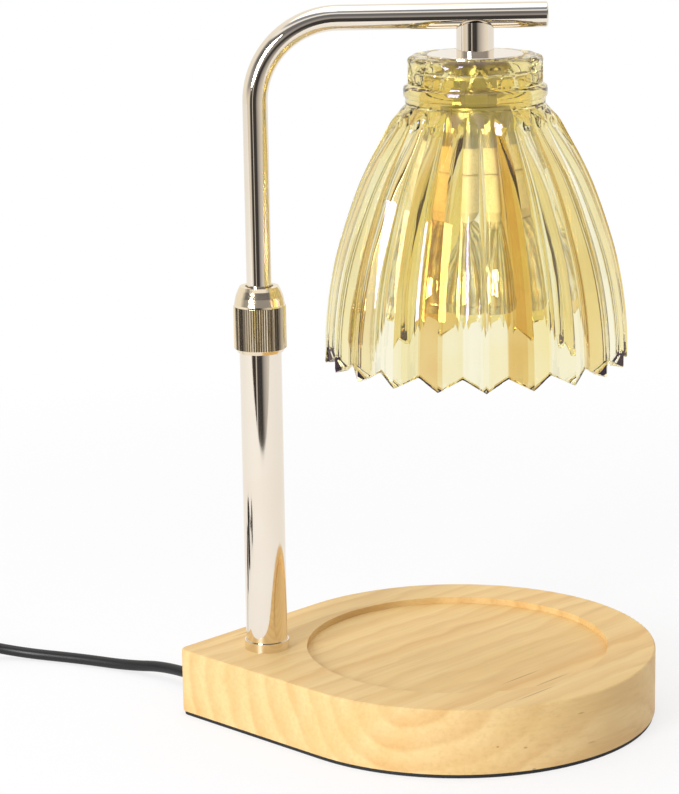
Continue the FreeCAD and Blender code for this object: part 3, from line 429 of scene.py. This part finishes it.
def make_glass():
    """The pressed shade: flat-sided ribs outside, a smooth wall inside, a crown of pointed arches on top."""
    per_rib = 16
    count = ribs * per_rib

    def ribbed(drop):
        r = shade_radius(drop)
        share = min(1.0, drop / RIB_START)
        low = share * RIB_DEPTH

        def at(angle):
            wave = rib_wave(angle)
            # the flutes start as points: high up, only the middle of a valley is cut
            cut = min(1.0, max(0.0, wave - (1 - share)) / max(share, 1e-6) + 0.18) if wave > 1 - share else 0.0
            fall = RIM_SCALLOP * wave * max(0.0, (drop - SCALLOP_START) / (RIM_DROP - SCALLOP_START))
            return r - low * cut * share ** 0.25, fall
        return at

    def plain(r):
        return lambda angle: (r, 0.0)

    def crown(r, depth):
        def at(angle):
            turn = (angle / (2 * math.pi) * petals) % 1.0
            side = abs(2 * turn - 1)
            return r - ARCH_DEPTH * depth(side), 0.0
        return at

    rings = []
    inside_r = SHADE_LINE[-1][1] - RIB_DEPTH - GLASS_T
    # the inner wall, from the rim up
    rings.append((RIM_Z + 0.4, lambda a: (inside_r + 0.4, RIM_SCALLOP * rib_wave(a))))
    rings.append((RIM_Z + 1.0, lambda a: (inside_r, RIM_SCALLOP * rib_wave(a))))
    steps = 22
    for k in range(1, steps):
        drop = 92.0 * (1 - k / steps) + 0.5
        depth = RIB_DEPTH * min(1.0, drop / RIB_START)
        rings.append((NECK_BOTTOM - drop, plain(shade_radius(drop) - depth - GLASS_T)))
    neck_in = NECK_R - 2 * GLASS_T
    rings += [(NECK_BOTTOM, plain(neck_in)),
              (ROOF_LOW - ROUNDING, plain(neck_in)), (ROOF_LOW, plain(neck_in - ROUNDING)),
              (ROOF_LOW, plain(HOLE_R + ROUNDING)), (ROOF_LOW + ROUNDING, plain(HOLE_R)),
              (ROOF_TOP - ROUNDING, plain(HOLE_R)), (ROOF_TOP, plain(HOLE_R + ROUNDING)),
              (ROOF_TOP, plain(SEAT_R)), (ROOF_TOP + 0.2, plain(SEAT_R + 0.3)), (ROOF_TOP + 0.4, plain(SEAT_R + 0.5))]
    # over the crown's rounded top and down its arcade
    top, low, r_out, bend = CROWN_TOP, CROWN_LOW, CROWN_R, CROWN_BEND
    for k in range(7):
        turn = math.pi / 2 * k / 6
        wave = lambda a, k=k: 0.35 * math.cos(petals * a) * min(1.0, k / 4)
        rings.append((top - bend + bend * math.sin(math.pi / 2 + turn),
                      lambda a, t=turn, w=wave: (r_out - bend + bend * math.sin(t) + w(a) * 0.6, w(a))))
    for k in range(1, 13):
        share = k / 12
        height = top - bend - (top - bend - low) * share

        def arch(side, share=share):
            # a pointed arch: its half width grows downwards from the point
            width = 0.80 * math.sqrt(max(0.0, min(1.0, (share - 0.05) / 0.95))) if share > 0.05 else 0.0
            edge = (width - side) / 0.16
            return max(0.0, min(1.0, edge)) ** 0.8 if share < 0.98 else 0.0
        rings.append((height, crown(r_out, arch)))
    rings += [(height, plain(r)) for height, r in NECK_BEAD]
    # the ribbed outside, down to the rim
    drops = [0.0, 0.8, 1.6, 2.6, 3.8, 5.2, 7.0, 9.0, 11.0, 13.5]
    even_from, even_to, even_steps = drops[-1], RIM_DROP - 0.5, 26
    drops += [even_from + (even_to - even_from) * k / even_steps for k in range(1, even_steps + 1)]
    for drop in drops:
        rings.append((NECK_BOTTOM - drop, ribbed(drop)))
    rings.append((RIM_Z + 0.1, lambda a: (ribbed(RIM_DROP - 0.1)(a)[0] - 0.2, RIM_SCALLOP * rib_wave(a))))
    rings.append((RIM_Z, lambda a: (ribbed(RIM_DROP)(a)[0] - 0.7, RIM_SCALLOP * rib_wave(a))))
    obj = ring_loft("glass_shade_pressed", count, rings)
    # close the rim between the outer zigzag and the inner wall
    activate(obj)
    bpy.ops.object.mode_set(mode="EDIT")
    bpy.ops.mesh.select_all(action="DESELECT")
    bpy.ops.mesh.select_mode(type="EDGE")
    bpy.ops.mesh.select_non_manifold()
    bpy.ops.mesh.bridge_edge_loops()
    bpy.ops.mesh.select_all(action="SELECT")
    bpy.ops.mesh.normals_make_consistent(inside=False)
    bpy.ops.object.mode_set(mode="OBJECT")
    obj.location = mm(head_x, 0, 0)
    apply_place(obj)
    colour_facets(obj)
    smooth(obj, 28)
    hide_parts("glass_shade")
    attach(obj, "swing_arm")


def colour_facets(obj):
    """How deep the lustre stands: each flank of a rib has its own depth, one flank of every rib is a little deeper as
    painted shade, and the crown is paler.
    """
    palest, spread, painted_flank_shade, crown_depth, fade_mm = 0.12, 0.40, 0.08, 0.46, 12
    layer = obj.data.attributes.new("facet", "FLOAT", "FACE")
    for face in obj.data.polygons:
        x, y, z = (c / MM for c in face.center)
        flank = int(math.atan2(y, x - head_x) / (2 * math.pi) * 2 * ribs + 4 * ribs)
        # painted shade: every other flank, the same side of each rib, gets a deeper amber tone
        depth = palest + spread * math.sin(flank * 2.4 + 0.9) ** 2 + painted_flank_shade * (flank % 2)
        body = max(0.0, min(1.0, (NECK_BOTTOM - z) / fade_mm))
        layer.data[face.index].value = crown_depth * (1 - body) + depth * body


def nurbs(name, points, radius):
    curve = bpy.data.curves.new(name, "CURVE")
    curve.dimensions = "3D"
    # each point's radius carries the thickness, because the curve's bounds grow by it
    curve.bevel_depth = 1.0
    curve.bevel_resolution = 5
    curve.use_fill_caps = True
    spline = curve.splines.new("NURBS")
    spline.points.add(len(points) - 1)
    for point, place in zip(spline.points, points):
        point.co = (*(place * MM), 1.0)
        point.radius = radius * MM
    spline.order_u = 3
    spline.use_endpoint_u = True
    spline.resolution_u = 12
    obj = bpy.data.objects.new(name, curve)
    scene.collection.objects.link(obj)
    return obj


# The cord's route, as the construction has it
cord_rest = cord_d / 2 + floor_gap
exit_way = Vector((-1, 1, 0)).normalized()
boot_l = 20.0
corner_x = -disc_r * math.sqrt(2)
exit_point = Vector((post_x, 0, wood_bottom + groove_axis)) + exit_way * (post_x - corner_x) / math.sqrt(2)
dimmer_x, dimmer_y, dimmer_l, dimmer_boot_l, dimmer_split = -254.0, 72.0, 58.0, 9.0, 7.2
coil_pitch, coil_turns, coil_layers, coil_in_r, coil_side_x, coil_y = 4.9, 2.0, 4, 19.6, -328.0, 26.0
coil_x = coil_side_x + coil_in_r + coil_pitch * coil_turns
plug_h = 14.0


def coil_point(turns):
    """Centre line of the put-away coil: it winds in and out again, a layer higher each time."""
    layer = int(min(turns / coil_turns, coil_layers - 1e-9))
    done = turns - layer * coil_turns
    inward = layer % 2 == 0
    r = coil_in_r + coil_pitch * (coil_turns - done if inward else done)
    climb = 0.0
    for k in range(1, coil_layers):
        share = min(1.0, max(0.0, (turns - k * coil_turns) / 0.5 + 0.5))
        climb += share * share * (3 - 2 * share)
    angle = math.pi + 2 * math.pi * turns
    return Vector((coil_x + r * math.cos(angle), coil_y + r * math.sin(angle), cord_rest + coil_pitch * climb))


# The slack of the lamp's lead inside the post
slack_bottom, slack_top, slack_turns, slack_coil_r, lead_r = 41.0, 108.0, 6, 3.6, 1.3
slack_opening = 0.12     # share of the helix in which it opens to its full radius, at either end


def make_lead_slack():
    """Loose helix of the lamp's lead inside the post, from the foot of the slack up to the foot of the upper tube."""
    per_turn = 16
    steps = per_turn * slack_turns
    points = []
    for k in range(steps + 1):
        share = k / steps
        ease = min(1.0, share / slack_opening, (1 - share) / slack_opening)
        r = slack_coil_r * ease * ease * (3 - 2 * ease)
        turn = 2 * math.pi * slack_turns * share
        points.append(Vector((post_x + r * math.cos(turn), r * math.sin(turn),
                              slack_bottom + (slack_top - slack_bottom) * share)))
    obj = nurbs("lead_slack_helix", points, lead_r)
    obj.data.splines[0].resolution_u = 3
    activate(obj)
    bpy.ops.object.convert(target="MESH")
    outwards(obj)
    smooth(obj, 50)
    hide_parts("lead_slack")
    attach(obj, "base")
    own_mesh(obj)


def make_cords():
    """The cord on the table: from the base to the dimmer, and from there through the coil to the plug."""
    start = exit_point + exit_way * boot_l
    lamp_side = [
        start,
        start + exit_way * 14.0,
        Vector((-131.5, 51.5, cord_rest)),
        Vector((-152.0, 61.5, cord_rest)),
        Vector((-178.0, 71.0, cord_rest)),
        Vector((-200.0, dimmer_y, dimmer_split)),
        Vector((dimmer_x + dimmer_l / 2 + dimmer_boot_l, dimmer_y, dimmer_split)),
    ]
    near = nurbs("cord_lamp_side", lamp_side, cord_d / 2)
    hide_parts("power_cord")
    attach(near, "base")
    out = Vector((dimmer_x - dimmer_l / 2 - dimmer_boot_l, dimmer_y, dimmer_split))
    far_side = [
        out,
        out - Vector((8, 0, 0)),
        out - Vector((23, 1, 4)),
        Vector((coil_side_x, coil_y + 30, cord_rest)),
    ]
    per_turn = 16
    total = coil_turns * coil_layers
    for k in range(int(total * per_turn) + 1):
        turns = k / per_turn
        point = coil_point(turns)
        # a control point of the spline stands a little outside the line that it draws
        centre = Vector((coil_x, coil_y, point.z))
        far_side.append(centre + (point - centre) / math.cos(math.pi / per_turn) ** 0.5)
    end = coil_point(total)
    plug_z = plug_h / 2
    far_side += [
        end + Vector((0, -19.4, 0)),
        Vector((coil_side_x + 2, coil_y - 39, plug_z + 2.4)),
        Vector((coil_side_x + 5, coil_y - 58, plug_z)),
        Vector((coil_side_x + 6.5, coil_y - 72, plug_z)),
    ]
    far = nurbs("cord_plug_side", far_side, cord_d / 2)
    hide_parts("dimmer_cord", "cord_coil", "plug_lead")
    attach(far, "base")


# Studio

TABLE_FRONT = 0.42       # metres in front of the lamp


def plain_rays(tree):
    """The light path node, and 1 for the rays that see plain white: the camera's and those through glass."""
    path = node(tree, "ShaderNodeLightPath")
    clear = node(tree, "ShaderNodeMath", {0: path.outputs["Is Camera Ray"],
                                          1: path.outputs["Is Transmission Ray"]}, operation="MAXIMUM")
    return path, clear.outputs[0]


def make_floor():
    """White table top whose near edge the polished metal shows, white for the camera away from the object."""
    deselect()
    bpy.ops.mesh.primitive_plane_add(size=8.0, location=(0, 4.0 - TABLE_FRONT, 0))
    floor = named("studio_floor")
    mat, tree, shader = material("studio floor white")
    out = tree.nodes["Material Output"]
    set_inputs(shader, Base_Color=linear("#f3f2f5"), Roughness=1.0, Specular_IOR_Level=0.0)
    glow = node(tree, "ShaderNodeEmission", {0: linear("#ffffff"), 1: 1.0})
    place = node(tree, "ShaderNodeNewGeometry")
    away = node(tree, "ShaderNodeVectorMath", {0: place.outputs["Position"]}, operation="LENGTH")
    far = node(tree, "ShaderNodeMapRange", {0: away.outputs["Value"], 1: 0.25, 2: 0.6, 3: 0.72, 4: 1.0})
    path, clear = plain_rays(tree)
    seen = node(tree, "ShaderNodeMath", {0: path.outputs["Is Glossy Ray"], 1: 0.8, 2: clear},
                operation="MULTIPLY_ADD", use_clamp=True)
    amount = node(tree, "ShaderNodeMath", {0: seen.outputs[0], 1: far.outputs[0]}, operation="MULTIPLY")
    mixed = node(tree, "ShaderNodeMixShader", {0: amount.outputs[0], 1: shader.outputs[0], 2: glow.outputs[0]})
    tree.links.new(mixed.outputs[0], out.inputs["Surface"])
    floor.data.materials.append(mat)


def make_world():
    """Photographer's room: white behind the lamp, a bright panel high in front, and a dark room below the
    table's near edge. The camera and the glass see plain white."""
    world = bpy.data.worlds.new("studio")
    scene.world = world
    world.use_nodes = True
    tree = world.node_tree
    back = tree.nodes["Background"]
    coord = node(tree, "ShaderNodeTexCoord")
    way = node(tree, "ShaderNodeSeparateXYZ", {0: coord.outputs["Generated"]})
    height = node(tree, "ShaderNodeMapRange", {0: way.outputs[2], 1: -1.0, 2: 1.0})
    up = ramp(tree, height.outputs[0], (0.50, "#a9a7a6"), (0.60, "#98979a"), (0.68, "#6d6c70"), (0.80, "#77777d"),
              (0.83, "#ffffff"), (0.87, "#ffffff"), (0.895, "#8d94a3"), (1.0, "#98a0b0"))
    sideways = node(tree, "ShaderNodeMapRange", {0: way.outputs[0], 1: -1.0, 2: 1.0})
    low = ramp(tree, sideways.outputs[0], (0.02, "#e6dccb"), (0.10, "#e9e6e0"), (0.16, "#4a423b"), (0.27, "#383432"),
               (0.30, "#e8e4de"), (0.34, "#454140"), (0.54, "#3d3b3c"), (0.64, "#a3a09e"), (0.80, "#d2cdc7"),
               (0.97, "#f4efe6"))
    below = node(tree, "ShaderNodeMapRange", {0: way.outputs[2], 1: -0.06, 2: 0.06, 3: 1.0, 4: 0.0})
    room = node(tree, "ShaderNodeMix", {0: below.outputs[0], 6: up, 7: low}, data_type="RGBA")
    behind = node(tree, "ShaderNodeMapRange", {0: way.outputs[1], 1: -0.25, 2: 0.15})
    studio = node(tree, "ShaderNodeMix", {0: behind.outputs[0], 6: room.outputs[2], 7: linear("#fbf8f2")},
                  data_type="RGBA")
    _, clear = plain_rays(tree)
    colour = node(tree, "ShaderNodeMix", {0: clear, 6: studio.outputs[2], 7: linear("#ffffff")},
                  data_type="RGBA")
    tree.links.new(colour.outputs[2], back.inputs[0])


def soft_box(name, place, target, size, power):
    """Rectangular light at a place and aimed at a target, both in metres, with its power in watts."""
    data = bpy.data.lights.new(name, "AREA")
    data.shape = "RECTANGLE"
    data.size, data.size_y = size
    data.energy = power
    light = bpy.data.objects.new(name, data)
    scene.collection.objects.link(light)
    light.location = Vector(place)
    light.rotation_euler = (Vector(target) - Vector(place)).to_track_quat("-Z", "Y").to_euler()


def make_lights():
    soft_box("key_left", (-1.0, -1.25, 0.6), (-0.03, 0, 0.05), (0.5, 0.7), 21)
    soft_box("top", (-0.1, 0.1, 1.5), (0, 0, 0.1), (1.1, 1.1), 4)


make_camera()
make_cords()
make_lead_slack()
make_glass()
pine_wood()
amber_glass()
clear_glass()
reflector_glass()
ceramic()
foam("black foam sheet", "#19191b", 0.62, 0.7, "base_pad")
foam("black cord rubber", "#101012", 0.38, 0.5, "cord_lamp_side", "cord_plug_side", "strain_relief", "dimmer_boots")
plated("champagne plate", ("#ebdfcc", "#f1e8da"), 0.05, "post_flange", "post_tube", "upper_tube", "arm_end_cap",
       "arm_stem", "canopy_disc")
plated("gold knurled plate", ("#e6d3b2", "#f4e6cb"), 0.12, "lock_collar", bump_mm=0.2, line_mm=0.6)
plated("zinc plate", ("#b4b6ba", "#c6c8cb"), 0.28, "post_washer", "post_nut", "post_nipple", "post_insert",
       "bush_clips", "stem_nipple", "shade_washer", "shade_nut", "socket_cap", "cap_nuts", "terminal_screws",
       "dimmer_screws", bump_mm=0.05)
plated("contact brass", ("#c8a24e", "#d8b56a"), 0.25, "socket_contacts")
plated("nickel plate", ("#b9b5ac", "#cfccc4"), 0.2, "bulb_pins", "plug_blades")
plated("tungsten wire", ("#6b6a68", "#8b8a87"), 0.4, "bulb_filament")
moulded("natural nylon", "#e6e2d6", 0.45, "clamp_collet", "pressure_ring", "guide_bush")
moulded("silicone ring", "#e8e8e4", 0.5, "shade_gaskets")
moulded("lead insulation", "#dcdcd8", 0.45, "post_lead", "lead_slack_helix", "arm_lead")
moulded("black plastic case", "#17171a", 0.42, "dimmer_base", "dimmer_cover", "dimmer_control", "plug_body")
moulded("wheel plastic", "#2a2a2e", 0.25, "dimmer_wheel", coat=0.3)
moulded("green laminate", "#2c6b3c", 0.35, "dimmer_board")
make_floor()
make_world()
make_lights()
